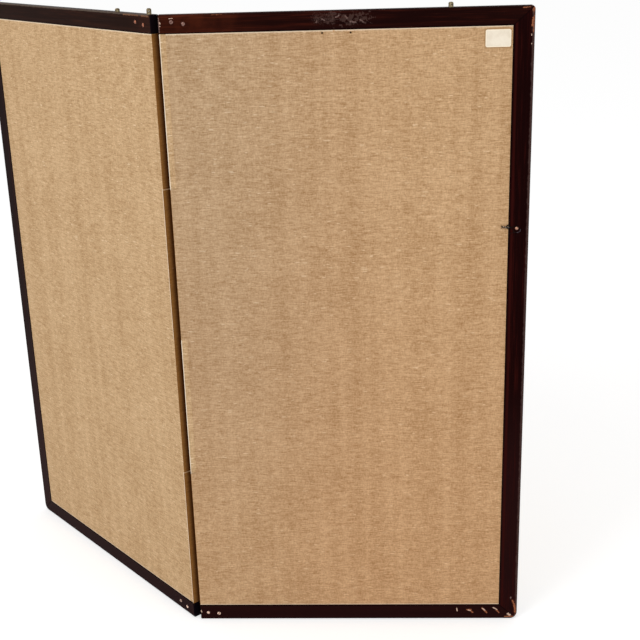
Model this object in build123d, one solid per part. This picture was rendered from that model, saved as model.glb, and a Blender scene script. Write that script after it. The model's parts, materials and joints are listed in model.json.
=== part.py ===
"""Two-leaf byobu folding screen, standing partly folded.

Millimetres, +Z up.  The gilded fronts face -Y, the cloth-covered backs +Y.
The origin is on the floor, in the middle of the screen's bounding box.
Both leaves are laid out flat on either side of the hinge plane x = 0, with
y running from the front face (0) to the back face, and are then turned
about the front fold line.  Distances u along a leaf start at that plane.
"""
import os
from build123d import *

# The screen
SCREEN_HEIGHT = 909.0
LEAF_WIDTH = 486.0
LEAF_THICKNESS = 14.0
FOLD_ANGLE = 47.3

# Lacquered frame round three sides of a leaf
TOP_RAIL_HEIGHT = 24.5
BOTTOM_RAIL_HEIGHT = 25.5
STILE_WIDTH = 28.0
TOP_CORNER_RADIUS = 5.0
BOTTOM_CORNER_RADIUS = 11.0
RAIL_END_RADIUS = 2.0
OUTER_ARRIS_RADIUS = 3.0
INNER_ARRIS_CHAMFER = 0.5
FRAME_PROUD = 0.8

# Layers of the panel
COVER_THICKNESS = 0.6
PAPER_THICKNESS = 0.6
BORDER_WIDTH = 22.0

# Wooden core
CORE_MEMBER_WIDTH = 20.0
TONGUE_THICKNESS = 4.0
TONGUE_DEPTH = 16.0
TONGUE_CLEARANCE = 0.5
GROOVE_START = 6.0
CORE_TENON_LENGTH = 10.0
CORE_TENON_SHOULDER = 3.0
LATH_WIDTH = 10.0
LATH_TENON_LENGTH = 6.0
UPRIGHT_COUNT = 3
CROSSPIECE_COUNT = 7

# Double-acting cloth hinge
HINGE_GAP = 1.0
EDGE_COVER = 0.4
FOLD_LINE_OFFSET = 0.15
FLAP_WIDTH = 14.0
TOP_STRIP_HEIGHT = 206.5
UPPER_STRIP_HEIGHT = 217.5
BOTTOM_STRIP_HEIGHT = 224.5

# Rail nails, as (distance from the rail's end, distance from its outer edge)
NAIL_HEAD_DIAMETER = 5.2
NAIL_HEAD_TOP_DIAMETER = 3.6
NAIL_HEAD_HEIGHT = 0.5
NAIL_SHANK_DIAMETER = 1.8
NAIL_LENGTH = 11.0
NAIL_HOLE_CLEARANCE = 0.05
FIRST_TOP_NAILS = ((17.5, 13.6), (36.5, 10.6))
FIRST_BOTTOM_NAILS = ((18.0, 11.0), (36.0, 13.5))
SECOND_TOP_NAILS = ((17.0, 9.4), (32.4, 12.2))
SECOND_BOTTOM_NAILS = ((12.0, 12.2), (28.4, 10.8))

# Brass hanging posts on the top rails, as (distance from the hinge plane, height,
# turn of the cross hole from square to the leaf)
POST_DIAMETER = 6.5
POST_DOME_RADIUS = 2.2
POST_HOLE_DIAMETER = 2.0
POST_TANG_DIAMETER = 2.8
POST_TANG_LENGTH = 6.5
POST_INSET = 4.5
FIRST_POSTS = ((8.5, 7.8, 45.0), (87.5, 4.8, 110.0))
SECOND_POSTS = ((378.4, 6.5, -16.0),)

# Nail with its cut-off picture wire, on the second leaf's stile
WIRE_NAIL_INSET = 16.9
WIRE_NAIL_DROP = 292.3
WIRE_NAIL_SHANK_DIAMETER = 2.0
WIRE_NAIL_HEAD_DIAMETER = 5.6
WIRE_NAIL_HEAD_TOP_DIAMETER = 4.2
WIRE_NAIL_HEAD_HEIGHT = 1.2
WIRE_NAIL_STAND_OFF = 1.4
WIRE_DIAMETER = 1.0
WIRE_CLEARANCE = 0.1
WIRE_TAIL_LENGTH = 19.0
WIRE_COIL_DIAMETER = 5.0
WIRE_COIL_TURNS = 3
WIRE_COIL_DISTANCE = 10.5

# Levels through the thickness of a leaf
FRONT_COVER = FRAME_PROUD
FRONT_PAPER = FRONT_COVER + COVER_THICKNESS
CORE_FRONT = FRONT_PAPER + PAPER_THICKNESS
CORE_BACK = LEAF_THICKNESS - CORE_FRONT
REAR_PAPER = CORE_BACK
REAR_COVER = REAR_PAPER + PAPER_THICKNESS
REAR_SURFACE = REAR_COVER + COVER_THICKNESS
CORE_MIDDLE = (CORE_FRONT + CORE_BACK) / 2
TONGUE_FRONT = CORE_MIDDLE - TONGUE_THICKNESS / 2
TONGUE_BACK = CORE_MIDDLE + TONGUE_THICKNESS / 2

# Levels along and up a leaf
HINGE_EDGE = HINGE_GAP / 2
CORE_EDGE = HINGE_EDGE + EDGE_COVER
CORE_INNER_LEFT = CORE_EDGE + CORE_MEMBER_WIDTH
PANEL_FREE = LEAF_WIDTH - STILE_WIDTH
CORE_INNER_RIGHT = PANEL_FREE - CORE_MEMBER_WIDTH
PANEL_BOTTOM = BOTTOM_RAIL_HEIGHT
PANEL_TOP = SCREEN_HEIGHT - TOP_RAIL_HEIGHT
CORE_INNER_BOTTOM = PANEL_BOTTOM + CORE_MEMBER_WIDTH
CORE_INNER_TOP = PANEL_TOP - CORE_MEMBER_WIDTH
TOP_BREAK = PANEL_TOP - TOP_STRIP_HEIGHT
MIDDLE_BREAK = TOP_BREAK - UPPER_STRIP_HEIGHT
BOTTOM_BREAK = PANEL_BOTTOM + BOTTOM_STRIP_HEIGHT

# The hinge is four strips of cloth one above the other.  Two wrap the second
# leaf's edge from its back, and two cross from the first leaf's back.
WRAPPING_STRIPS = {
    "hinge_top": (TOP_BREAK, PANEL_TOP),
    "hinge_lower": (BOTTOM_BREAK, MIDDLE_BREAK),
}
CROSSING_STRIPS = {
    "hinge_upper": (MIDDLE_BREAK, TOP_BREAK),
    "hinge_bottom": (PANEL_BOTTOM, BOTTOM_BREAK),
}


def board(across, through, up):
    """A plain rectangular piece, given as (start, end) along x, y and z."""
    size = [end - start for start, end in (across, through, up)]
    middle = [(end + start) / 2 for start, end in (across, through, up)]
    return Pos(*middle) * Box(*size)


def plate(points, through):
    """A flat piece with a straight-sided outline drawn on the leaf's face."""
    outline = make_face(Polyline(*points, close=True))
    return raised(outline, through)


def raised(outline, through):
    """An outline given thickness, from one level through the leaf to another."""
    start, end = through
    return extrude(Plane.XZ.offset(-start) * outline, amount=start - end)


def middles(start, end, count):
    """Evenly spaced positions that leave equal openings between two edges."""
    step = (end - start) / (count + 1)
    return [start + step * number for number in range(1, count + 1)]


# ---------------------------------------------------------------- frame

def rounded(outline, point, radius):
    """Round the corner of an outline that lies nearest to a point."""
    corner = outline.vertices().sort_by_distance((*point, 0))[0]
    return fillet(corner, radius)


def frame_outline():
    """The C-shaped face of the lacquered frame, open towards the hinge."""
    points = (
        (HINGE_EDGE, 0),
        (LEAF_WIDTH, 0),
        (LEAF_WIDTH, SCREEN_HEIGHT),
        (HINGE_EDGE, SCREEN_HEIGHT),
        (HINGE_EDGE, PANEL_TOP),
        (PANEL_FREE, PANEL_TOP),
        (PANEL_FREE, PANEL_BOTTOM),
        (HINGE_EDGE, PANEL_BOTTOM),
    )
    outline = make_face(Polyline(*points, close=True))
    outline = rounded(outline, (LEAF_WIDTH, 0), BOTTOM_CORNER_RADIUS)
    outline = rounded(outline, (LEAF_WIDTH, SCREEN_HEIGHT), TOP_CORNER_RADIUS)
    outline = rounded(outline, (HINGE_EDGE, PANEL_TOP), RAIL_END_RADIUS)
    return rounded(outline, (HINGE_EDGE, PANEL_BOTTOM), RAIL_END_RADIUS)


def is_outer(edge):
    """True for an edge on the outside of the frame, away from the hinge."""
    spot = edge.center()
    reach = max(TOP_CORNER_RADIUS, BOTTOM_CORNER_RADIUS)
    beside = spot.X > LEAF_WIDTH - reach
    return beside or spot.Z < reach or spot.Z > SCREEN_HEIGHT - reach


def is_inner(edge):
    """True for an edge along the opening that holds the panel."""
    spot = edge.center()
    off_end = spot.X > HINGE_EDGE + RAIL_END_RADIUS / 4
    off_mitre = spot.X < PANEL_FREE + INNER_ARRIS_CHAMFER
    return off_end and off_mitre and not is_outer(edge)


def face_edges(solid):
    """The edges that lie in the front and back faces of the frame."""
    edges = solid.edges()
    return edges.filter_by_position(Axis.Y, 0, 0) + edges.filter_by_position(
        Axis.Y, LEAF_THICKNESS, LEAF_THICKNESS
    )


def groove():
    """The space taken by the groove round the inside of the frame."""
    depth = TONGUE_DEPTH + TONGUE_CLEARANCE
    across = (GROOVE_START, PANEL_FREE + depth)
    up = (PANEL_BOTTOM - depth, PANEL_TOP + depth)
    return board(across, (TONGUE_FRONT, TONGUE_BACK), up)


def lacquered_frame():
    """The whole frame, rounded outside, before it is cut into members."""
    frame = raised(frame_outline(), (0, LEAF_THICKNESS))
    outer = [edge for edge in face_edges(frame) if is_outer(edge)]
    return fillet(outer, OUTER_ARRIS_RADIUS) - groove()


def softened(member):
    """A member of the frame with its inner arrises eased."""
    inner = [edge for edge in face_edges(member) if is_inner(edge)]
    return chamfer(inner, INNER_ARRIS_CHAMFER)


def mitre_line(outer_z, inner_z):
    """A mitre, drawn out past its inner and its outer corner."""
    inner = Vector(PANEL_FREE, inner_z)
    outer = Vector(LEAF_WIDTH, outer_z)
    run = outer - inner
    start = inner - run
    end = outer + run
    return (start.X, start.Y), (end.X, end.Y)


def frame_members():
    """Top rail, bottom rail and stile, mitred at the two free corners."""
    frame = lacquered_frame()
    through = (-LEAF_THICKNESS, 2 * LEAF_THICKNESS)
    top_start, top_end = mitre_line(SCREEN_HEIGHT, PANEL_TOP)
    bottom_start, bottom_end = mitre_line(0, PANEL_BOTTOM)
    beyond = -LEAF_WIDTH
    above = plate(
        (top_start, top_end, (beyond, top_end[1]), (beyond, top_start[1])), through
    )
    below = plate(
        (bottom_start, bottom_end, (beyond, bottom_end[1]), (beyond, bottom_start[1])),
        through,
    )
    members = (frame & above, frame & below, frame - above - below)
    return [softened(member) for member in members]


# ---------------------------------------------------------------- core

def lath_positions():
    """Centre lines of the lattice: across the leaf, and up it."""
    across = middles(CORE_INNER_LEFT, CORE_INNER_RIGHT, UPRIGHT_COUNT)
    up = middles(CORE_INNER_BOTTOM, CORE_INNER_TOP, CROSSPIECE_COUNT)
    return across, up


def lath_width_about(middle):
    """Both edges of a lath from its centre line."""
    return middle - LATH_WIDTH / 2, middle + LATH_WIDTH / 2


def upright_tenon(middle):
    """The long flat tenon that runs out at both ends of an upright lath."""
    up = (CORE_INNER_BOTTOM - LATH_TENON_LENGTH, CORE_INNER_TOP + LATH_TENON_LENGTH)
    return board(lath_width_about(middle), (TONGUE_FRONT, TONGUE_BACK), up)


def crosspiece_tenon(middle):
    """The long flat tenon that runs out at both ends of a cross lath."""
    across = (
        CORE_INNER_LEFT - LATH_TENON_LENGTH,
        CORE_INNER_RIGHT + LATH_TENON_LENGTH,
    )
    return board(across, (TONGUE_FRONT, TONGUE_BACK), lath_width_about(middle))


def upright(middle, crossings):
    """An upright lath, halved on its front wherever a cross lath passes."""
    across = lath_width_about(middle)
    up = (CORE_INNER_BOTTOM, CORE_INNER_TOP)
    lath = board(across, (CORE_FRONT, CORE_BACK), up) + upright_tenon(middle)
    for crossing in crossings:
        halving = (CORE_FRONT, CORE_MIDDLE)
        lath -= board(across, halving, lath_width_about(crossing))
    return lath


def crosspiece(middle, crossings):
    """A cross lath, halved on its back wherever an upright passes."""
    up = lath_width_about(middle)
    across = (CORE_INNER_LEFT, CORE_INNER_RIGHT)
    lath = board(across, (CORE_FRONT, CORE_BACK), up) + crosspiece_tenon(middle)
    for crossing in crossings:
        halving = (CORE_MIDDLE, CORE_BACK)
        lath -= board(lath_width_about(crossing), halving, up)
    return lath


def core_tenon(start, end):
    """The tenon through both ends of a core rail lying between two heights."""
    across = (
        CORE_INNER_LEFT - CORE_TENON_LENGTH,
        CORE_INNER_RIGHT + CORE_TENON_LENGTH,
    )
    up = (start + CORE_TENON_SHOULDER, end - CORE_TENON_SHOULDER)
    return board(across, (TONGUE_FRONT, TONGUE_BACK), up)


def core_tenons():
    """The tenons of the top and the bottom core rail."""
    top = core_tenon(CORE_INNER_TOP, PANEL_TOP)
    bottom = core_tenon(PANEL_BOTTOM, CORE_INNER_BOTTOM)
    return top, bottom


def core_rails():
    """Top and bottom core rails, with a tongue on the outer edge of each."""
    across = (CORE_INNER_LEFT, CORE_INNER_RIGHT)
    thickness = (CORE_FRONT, CORE_BACK)
    tongue = (TONGUE_FRONT, TONGUE_BACK)
    top_tenon, bottom_tenon = core_tenons()
    top = board(across, thickness, (CORE_INNER_TOP, PANEL_TOP)) + top_tenon
    top += board(across, tongue, (PANEL_TOP, PANEL_TOP + TONGUE_DEPTH))
    bottom = board(across, thickness, (PANEL_BOTTOM, CORE_INNER_BOTTOM))
    bottom += bottom_tenon
    bottom += board(across, tongue, (PANEL_BOTTOM - TONGUE_DEPTH, PANEL_BOTTOM))
    for middle in lath_positions()[0]:
        top -= upright_tenon(middle)
        bottom -= upright_tenon(middle)
    return top, bottom


def core_stile(across, tongue_across):
    """A full-height core stile, mortised for the rails and the laths."""
    thickness = (CORE_FRONT, CORE_BACK)
    tongue = (TONGUE_FRONT, TONGUE_BACK)
    reach = (PANEL_BOTTOM - TONGUE_DEPTH, PANEL_TOP + TONGUE_DEPTH)
    stile = board(across, thickness, (PANEL_BOTTOM, PANEL_TOP))
    stile += board(tongue_across, tongue, reach)
    for tenon in core_tenons():
        stile -= tenon
    for middle in lath_positions()[1]:
        stile -= crosspiece_tenon(middle)
    return stile


def hinge_core_stile():
    """The core stile beside the hinge; its tongues start clear of the edge."""
    return core_stile((CORE_EDGE, CORE_INNER_LEFT), (GROOVE_START, CORE_INNER_LEFT))


def free_core_stile():
    """The core stile that is tongued into the lacquered stile."""
    return core_stile(
        (CORE_INNER_RIGHT, PANEL_FREE),
        (CORE_INNER_RIGHT, PANEL_FREE + TONGUE_DEPTH),
    )


# ---------------------------------------------------------------- coverings

def front_flap(zone):
    """Hinge cloth glued into the front, rising at the edge to the fold line."""
    tab = board((HINGE_EDGE, FLAP_WIDTH), (FRONT_PAPER, CORE_FRONT), zone)
    return tab + board((HINGE_EDGE, CORE_EDGE), (0, CORE_FRONT), zone)


def rear_flap(zone):
    """Hinge cloth glued into the back, rising at the edge to the fold line."""
    tab = board((HINGE_EDGE, FLAP_WIDTH), (REAR_PAPER, REAR_COVER), zone)
    return tab + board((HINGE_EDGE, CORE_EDGE), (REAR_PAPER, LEAF_THICKNESS), zone)


def backing_paper(level, flaps):
    """Thick backing paper, cut away where the hinge cloth is glued down."""
    paper = board(
        (CORE_EDGE, PANEL_FREE),
        (level, level + PAPER_THICKNESS),
        (PANEL_BOTTOM, PANEL_TOP),
    )
    for piece in flaps:
        paper -= piece
    return paper


def edge_lining(zone, flaps):
    """The cloth glued over the panel's edge, between two heights."""
    lining = board((HINGE_EDGE, CORE_EDGE), (FRONT_COVER, REAR_SURFACE), zone)
    for piece in flaps:
        lining -= piece
    return lining


def cover(across, level, up):
    """One sheet of facing material."""
    return board(across, (level, level + COVER_THICKNESS), up)


def gold_ground():
    """The gilded picture ground inside the brocade border."""
    across = (CORE_EDGE, PANEL_FREE - BORDER_WIDTH)
    up = (PANEL_BOTTOM + BORDER_WIDTH, PANEL_TOP - BORDER_WIDTH)
    return cover(across, FRONT_COVER, up)


def brocade_border():
    """The border along the top, the bottom and the free side of the front."""
    whole = cover((CORE_EDGE, PANEL_FREE), FRONT_COVER, (PANEL_BOTTOM, PANEL_TOP))
    return whole - gold_ground()


def rear_cloth():
    """The cloth over the whole back of the panel."""
    return cover((CORE_EDGE, PANEL_FREE), REAR_COVER, (PANEL_BOTTOM, PANEL_TOP))


# ---------------------------------------------------------------- metalwork

def facing_back(u, level, z):
    """A placing that turns a piece built upright so that it points backwards."""
    return Pos(u, level, z) * Rot(-90, 0, 0)


def nail(shank_diameter, length, head_diameter, top_diameter, head_height):
    """A nail along Z: the shank hangs below z = 0, and the head stands on it."""
    radius = shank_diameter / 2
    point = shank_diameter
    straight = length - point
    shank = Pos(0, 0, -straight / 2) * Cylinder(radius, straight)
    tip = Pos(0, 0, -straight - point / 2) * Cone(radius / 5, radius, point)
    head = Cone(head_diameter / 2, top_diameter / 2, head_height)
    return shank + tip + Pos(0, 0, head_height / 2) * head


def wire_ring(inner_diameter, turns):
    """Close turns of wire round a hole, lying across Z."""
    height = turns * WIRE_DIAMETER
    outer_diameter = inner_diameter + 2 * WIRE_DIAMETER
    ring = Cylinder(outer_diameter / 2, height)
    return ring - Cylinder(inner_diameter / 2, height)


def rail_nail_spots(top_spots, bottom_spots):
    """Nail positions as (u, z) from their offsets on the two rails."""
    top = [(HINGE_EDGE + u, SCREEN_HEIGHT - z) for u, z in top_spots]
    bottom = [(HINGE_EDGE + u, z) for u, z in bottom_spots]
    return top + bottom


def rail_nail(u, z):
    """A nail driven from the back through a rail and the tongue inside it."""
    return facing_back(u, LEAF_THICKNESS, z) * nail(
        NAIL_SHANK_DIAMETER,
        NAIL_LENGTH,
        NAIL_HEAD_DIAMETER,
        NAIL_HEAD_TOP_DIAMETER,
        NAIL_HEAD_HEIGHT,
    )


def nail_hole(u, z, diameter, length):
    """A blind hole from the back face, a little larger than a shank."""
    depth = length + NAIL_HOLE_CLEARANCE
    radius = diameter / 2 + NAIL_HOLE_CLEARANCE
    return facing_back(u, LEAF_THICKNESS - depth / 2, z) * Cylinder(radius, depth)


def hanging_post(u, height, turn):
    """A domed brass barrel with a cross hole, on a tang in the top rail."""
    barrel = Pos(0, 0, height / 2) * Cylinder(POST_DIAMETER / 2, height)
    post = fillet(barrel.edges().sort_by(Axis.Z)[-1], POST_DOME_RADIUS)
    post += Pos(0, 0, -POST_TANG_LENGTH / 2) * Cylinder(
        POST_TANG_DIAMETER / 2, POST_TANG_LENGTH
    )
    eye = Rot(0, 0, turn) * Rot(90, 0, 0) * Cylinder(POST_HOLE_DIAMETER / 2, 2 * POST_DIAMETER)
    post -= Pos(0, 0, height / 2) * eye
    return Pos(u, LEAF_THICKNESS - POST_INSET, SCREEN_HEIGHT) * post


def wire_nail_spot():
    """Where the wire nail is driven: across and up the leaf."""
    return LEAF_WIDTH - WIRE_NAIL_INSET, SCREEN_HEIGHT - WIRE_NAIL_DROP


def wire_nail():
    """The nail left standing off the stile, with room for wire under its head."""
    u, z = wire_nail_spot()
    return facing_back(u, LEAF_THICKNESS + WIRE_NAIL_STAND_OFF, z) * nail(
        WIRE_NAIL_SHANK_DIAMETER,
        NAIL_LENGTH + WIRE_NAIL_STAND_OFF,
        WIRE_NAIL_HEAD_DIAMETER,
        WIRE_NAIL_HEAD_TOP_DIAMETER,
        WIRE_NAIL_HEAD_HEIGHT,
    )


def wire_stub():
    """The cut end of picture wire: a loop round the nail and a doubled tail."""
    u, z = wire_nail_spot()
    radius = WIRE_DIAMETER / 2
    level = LEAF_THICKNESS + WIRE_CLEARANCE + radius
    loop_diameter = WIRE_NAIL_SHANK_DIAMETER + 2 * WIRE_CLEARANCE
    stub = facing_back(u, level, z) * wire_ring(loop_diameter, 1)
    start = u - loop_diameter / 2 - radius
    strand = Rot(0, 90, 0) * Cylinder(radius, WIRE_TAIL_LENGTH)
    for side in (-1, 1):
        offset = side * radius * 0.8
        stub += Pos(start - WIRE_TAIL_LENGTH / 2, level, z + offset) * strand
    coil = Rot(0, 90, 0) * wire_ring(
        WIRE_COIL_DIAMETER - 2 * WIRE_DIAMETER, WIRE_COIL_TURNS
    )
    coil_level = LEAF_THICKNESS + WIRE_COIL_DIAMETER / 2
    return stub + Pos(start - WIRE_COIL_DISTANCE, coil_level, z) * coil


# ---------------------------------------------------------------- leaves

def drilled(piece, spots):
    """A wooden piece with the holes for the rail nails."""
    for u, z in spots:
        piece -= nail_hole(u, z, NAIL_SHANK_DIAMETER, NAIL_LENGTH)
    return piece


def bored_for_posts(rail, post_places):
    """The top rail with the blind holes for the posts' tangs."""
    for u, height, turn in post_places:
        rail -= hanging_post(u, height, turn)
    return rail


def leaf(spots, post_places, front_flaps, rear_flaps):
    """Everything both leaves have, flat, on the +X side of the hinge."""
    top_rail, bottom_rail, stile = frame_members()
    core_top, core_bottom = core_rails()
    across, up = lath_positions()
    return {
        "top_rail": bored_for_posts(drilled(top_rail, spots), post_places),
        "bottom_rail": drilled(bottom_rail, spots),
        "free_stile": stile,
        "core_top_rail": drilled(core_top, spots),
        "core_bottom_rail": drilled(core_bottom, spots),
        "core_hinge_stile": drilled(hinge_core_stile(), spots),
        "core_free_stile": free_core_stile(),
        "lattice_uprights": [upright(middle, up) for middle in across],
        "lattice_crosspieces": [crosspiece(middle, across) for middle in up],
        "front_backing_paper": backing_paper(FRONT_PAPER, front_flaps),
        "rear_backing_paper": backing_paper(REAR_PAPER, rear_flaps),
        "gold_ground": gold_ground(),
        "brocade_border": brocade_border(),
        "rear_cloth": rear_cloth(),
        "rail_nails": [rail_nail(u, z) for u, z in spots],
        "hanging_posts": [hanging_post(*place) for place in post_places],
    }


def flaps_of(strips, make_flap):
    """One flap for each strip of hinge cloth."""
    return [make_flap(zone) for zone in strips.values()]


def named(strips, part_name, pieces):
    """The same part of several hinge strips, as a node for each strip."""
    return {strip + part_name: piece for strip, piece in zip(strips, pieces)}


def first_leaf():
    """The leaf whose back the crossing strips are glued to."""
    front_flaps = flaps_of(WRAPPING_STRIPS, front_flap)
    rear_flaps = flaps_of(CROSSING_STRIPS, rear_flap)
    spots = rail_nail_spots(FIRST_TOP_NAILS, FIRST_BOTTOM_NAILS)
    pieces = leaf(spots, FIRST_POSTS, front_flaps, rear_flaps)
    pieces["edge_lining"] = edge_lining(
        (PANEL_BOTTOM, PANEL_TOP), front_flaps + rear_flaps
    )
    nodes = {"first_leaf_" + name: piece for name, piece in pieces.items()}
    nodes |= named(WRAPPING_STRIPS, "_front_flap", front_flaps)
    return nodes | named(CROSSING_STRIPS, "_rear_flap", rear_flaps)


def wrap(zone):
    """A wrapping strip glued to the second leaf's back and over its edge."""
    over_edge = board((HINGE_EDGE, CORE_EDGE), (0, LEAF_THICKNESS), zone)
    return over_edge + rear_flap(zone)


def second_leaf():
    """The leaf whose back the wrapping strips are glued to."""
    front_flaps = flaps_of(CROSSING_STRIPS, front_flap)
    rear_flaps = flaps_of(WRAPPING_STRIPS, rear_flap)
    spots = rail_nail_spots(SECOND_TOP_NAILS, SECOND_BOTTOM_NAILS)
    pieces = leaf(spots, SECOND_POSTS, front_flaps, rear_flaps)
    u, z = wire_nail_spot()
    hole = nail_hole(u, z, WIRE_NAIL_SHANK_DIAMETER, NAIL_LENGTH)
    pieces["free_stile"] -= hole
    pieces["core_free_stile"] -= hole
    pieces["edge_lining"] = [
        edge_lining(zone, front_flaps) for zone in CROSSING_STRIPS.values()
    ]
    nodes = {"second_leaf_" + name: piece for name, piece in pieces.items()}
    nodes |= named(CROSSING_STRIPS, "_front_flap", front_flaps)
    nodes |= named(WRAPPING_STRIPS, "_wrap", flaps_of(WRAPPING_STRIPS, wrap))
    nodes["wire_nail"] = wire_nail()
    nodes["wire_stub"] = wire_stub()
    return nodes


def gusset(zone):
    """The free part of a crossing strip, from one fold line to the other."""
    half = EDGE_COVER / 2
    return board((-half, half), (0, LEAF_THICKNESS), zone)


# ---------------------------------------------------------------- assembly

def as_shape(piece):
    """A node as one shape, whether it is one solid or several alike."""
    if isinstance(piece, list):
        return Compound(piece)
    return piece


def turned(nodes, angle):
    """Nodes turned about the front fold line."""
    fold_line = Pos(0, -FOLD_LINE_OFFSET, 0)
    turn = fold_line * Rot(0, 0, angle) * fold_line.inverse()
    return {name: turn * shape for name, shape in nodes.items()}


def centring_move(shapes):
    """The move that puts the bounding box's bottom centre at the origin."""
    boxes = [shape.bounding_box() for shape in shapes]
    low_x = min(box.min.X for box in boxes)
    high_x = max(box.max.X for box in boxes)
    low_y = min(box.min.Y for box in boxes)
    high_y = max(box.max.Y for box in boxes)
    low_z = min(box.min.Z for box in boxes)
    return Pos(-(low_x + high_x) / 2, -(low_y + high_y) / 2, -low_z)


def assembly():
    """All nodes in the part's frame, centred over the floor."""
    gussets = flaps_of(CROSSING_STRIPS, gusset)
    first = {name: as_shape(piece) for name, piece in first_leaf().items()}
    first |= named(CROSSING_STRIPS, "_gusset", gussets)
    second = {
        name: mirror(as_shape(piece), about=Plane.YZ)
        for name, piece in second_leaf().items()
    }
    nodes = turned(first, -FOLD_ANGLE / 2) | turned(second, FOLD_ANGLE / 2)
    centring = centring_move(nodes.values())
    return {name: centring * shape for name, shape in nodes.items()}


os.makedirs("parts", exist_ok=True)
for node_name, node_shape in assembly().items():
    export_step(node_shape, os.path.join("parts", node_name + ".step"))
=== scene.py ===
"""The finish of a two-leaf folding screen that stands partly folded, seen from its backs."""
import json
import math
import random

import bmesh
import bpy
from mathutils import Matrix, Vector, noise


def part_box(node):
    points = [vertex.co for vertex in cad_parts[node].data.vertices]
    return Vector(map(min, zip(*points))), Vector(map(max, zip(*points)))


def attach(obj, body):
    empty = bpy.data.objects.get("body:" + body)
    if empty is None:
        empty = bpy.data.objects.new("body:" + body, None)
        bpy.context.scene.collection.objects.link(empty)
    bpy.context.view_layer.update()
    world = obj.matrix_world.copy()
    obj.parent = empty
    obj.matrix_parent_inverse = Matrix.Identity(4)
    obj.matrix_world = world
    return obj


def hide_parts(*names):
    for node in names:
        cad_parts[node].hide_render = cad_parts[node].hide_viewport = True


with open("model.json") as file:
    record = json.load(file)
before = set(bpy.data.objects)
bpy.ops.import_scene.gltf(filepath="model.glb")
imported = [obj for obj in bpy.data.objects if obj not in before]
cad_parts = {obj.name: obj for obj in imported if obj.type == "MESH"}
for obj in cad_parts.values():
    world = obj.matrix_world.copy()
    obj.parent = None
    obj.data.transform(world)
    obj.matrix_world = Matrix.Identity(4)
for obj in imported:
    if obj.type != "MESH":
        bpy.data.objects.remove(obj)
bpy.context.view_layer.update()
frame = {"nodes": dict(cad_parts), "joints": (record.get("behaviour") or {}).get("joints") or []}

nodes = frame["nodes"]
scene = bpy.context.scene
scene.view_settings.view_transform = "Standard"
MM = 0.001

# Where the leaves stand, from the hinge's front fold line
FRONT_FOLD = next(joint for joint in frame["joints"] if joint["name"] == "front_fold")
TURN = math.radians(-FRONT_FOLD["range_deg"][0]) / 2
FOLD_LINE_DEPTH = -0.15 * MM
FOLD_LINE_Y = FRONT_FOLD["pos_m"][1]
LEAF_SHIFT = Vector((
    math.sin(TURN) * FOLD_LINE_Y,
    FOLD_LINE_DEPTH - math.cos(TURN) * FOLD_LINE_Y,
    0.0,
))
FIRST, SECOND = 1, -1
LEAF_NAMES = {FIRST: "first_leaf", SECOND: "second_leaf"}


def span(node_name):
    """How far up a node starts and ends, in metres."""
    low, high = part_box(node_name)
    return round(low[2], 6), round(high[2], 6)


# Sizes of a leaf laid flat: u along it from the hinge, depth from its front, z up
LEAF_WIDTH = 486 * MM
LEAF_THICKNESS = 14 * MM
REAR_SURFACE = 13.2 * MM
HINGE_EDGE = 0.5 * MM
PANEL_FREE = 458 * MM

# Heights of the panel's head and foot, of the leaf, and where the top and bottom strips end
PANEL_TOP, LEAF_HEIGHT = span("second_leaf_top_rail")
TOP_BREAK = span("hinge_top_wrap")[0]
PANEL_BOTTOM, BOTTOM_BREAK = span("hinge_bottom_gusset")


def linear(red, green, blue):
    """A colour as it is mixed by a painter, turned into the renderer's own scale."""
    def channel(value):
        value /= 255
        return value / 12.92 if value <= 0.04045 else ((value + 0.055) / 1.055) ** 2.4
    return (channel(red), channel(green), channel(blue), 1.0)


# ---------------------------------------------------------------- node trees

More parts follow.
